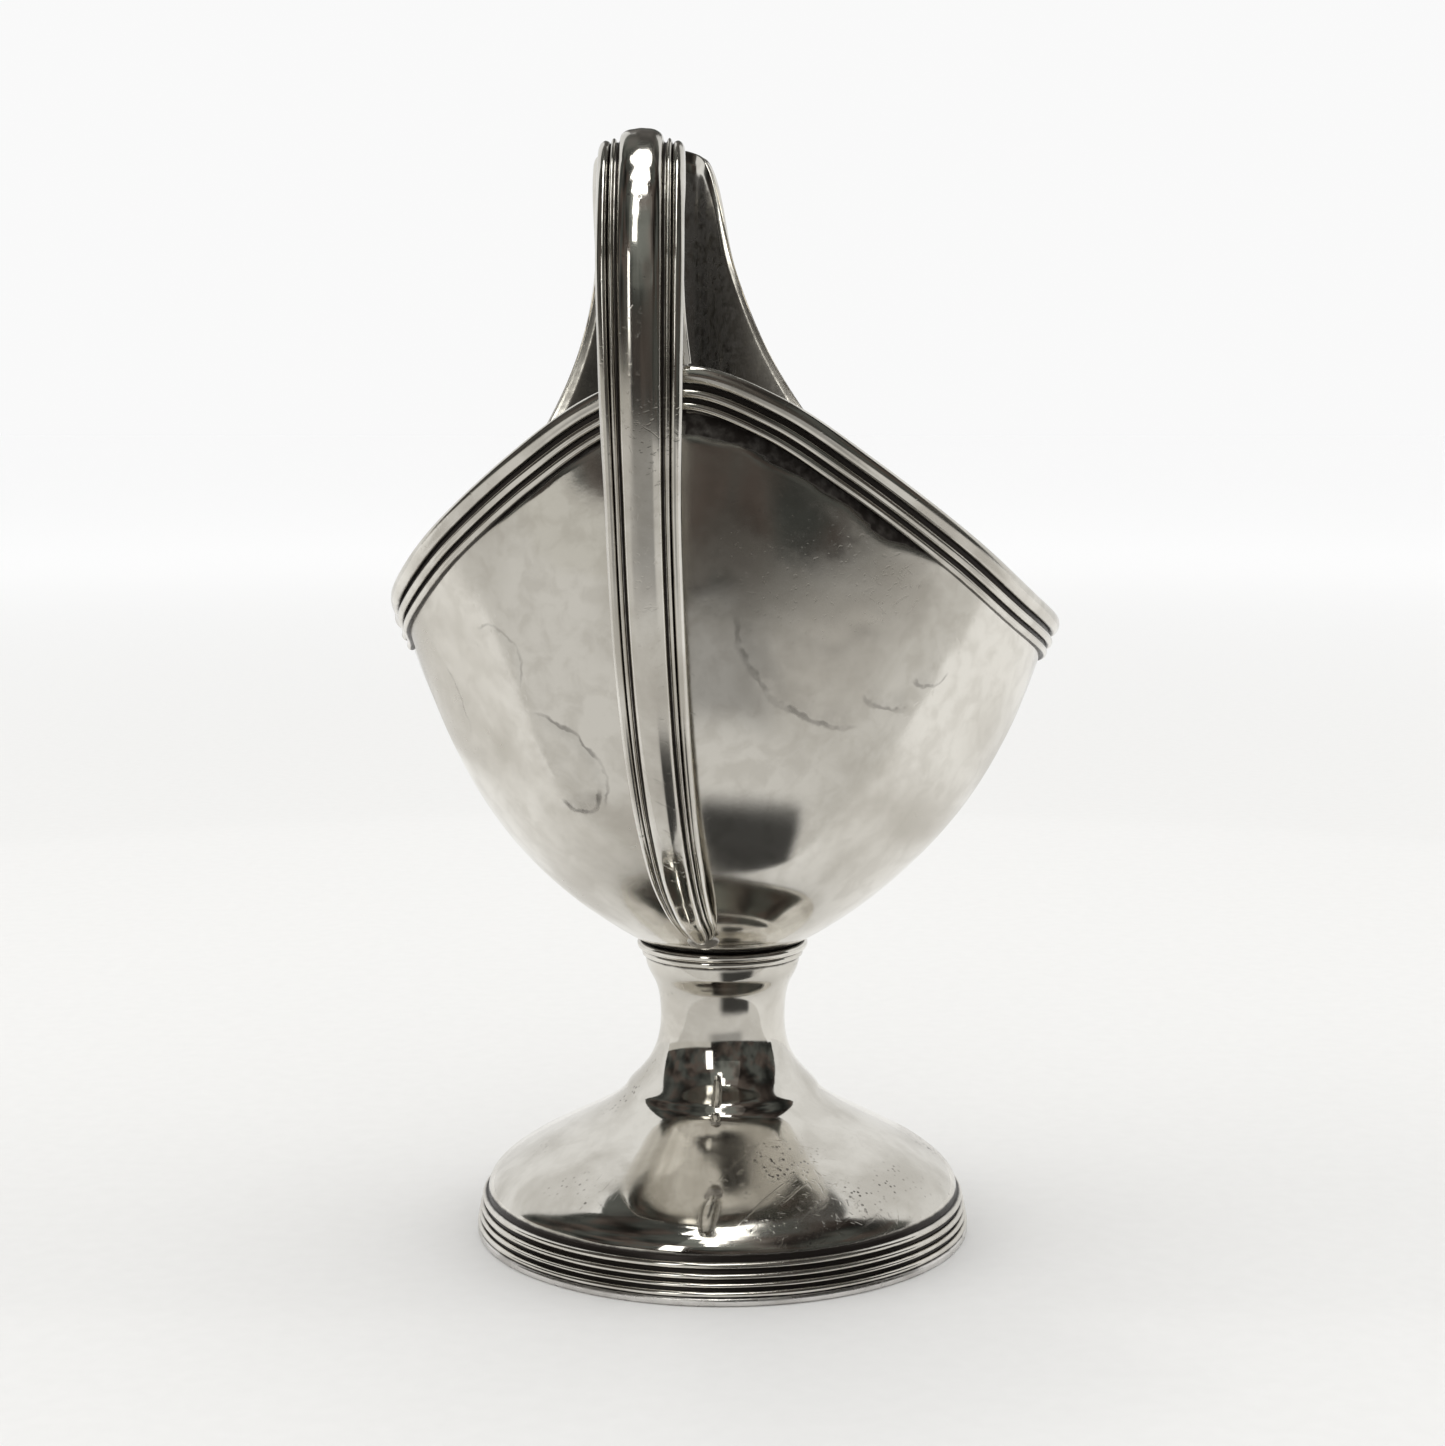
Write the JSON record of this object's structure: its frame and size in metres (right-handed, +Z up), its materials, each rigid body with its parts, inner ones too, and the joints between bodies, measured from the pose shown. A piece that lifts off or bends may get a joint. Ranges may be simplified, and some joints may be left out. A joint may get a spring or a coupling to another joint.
{
  "type": "cream jug",
  "caption": "Helmet-shaped silver cream jug with a reeded rim, a reeded strap loop handle, a collared spool stem and a round domed foot.",
  "frame": {"origin": "centre of the foot's resting edge, on the surface that the jug stands on", "axes": "+Z up, spout towards +Y, handle towards -Y, +X to the right seen from behind the handle"},
  "size_m": [0.0829, 0.1223, 0.1391],
  "materials": {
    "raised_silver": "polished, softly dented and finely scratched",
    "reeded_silver": "polished reeds with dark tarnish in the grooves",
    "strap_silver": "polished strap with dark tarnish beside its reeds",
    "collar_silver": "polished",
    "pedestal_silver": "polished, with fine pits on the foot",
    "base_silver": "worn and lightly tarnished",
    "silver_solder": "dull grey"
  },
  "bodies": {
    "root": {"bowl": "raised_silver", "rim_band": "reeded_silver", "handle": "strap_silver", "handle_top_solder": "silver_solder", "handle_tail_solder": "silver_solder", "collar_ring": "collar_silver", "bowl_seat_solder": "silver_solder", "pedestal": "pedestal_silver", "foot_reeded_band": "reeded_silver", "foot_base_ring": "base_silver"}
  },
  "joints": []
}
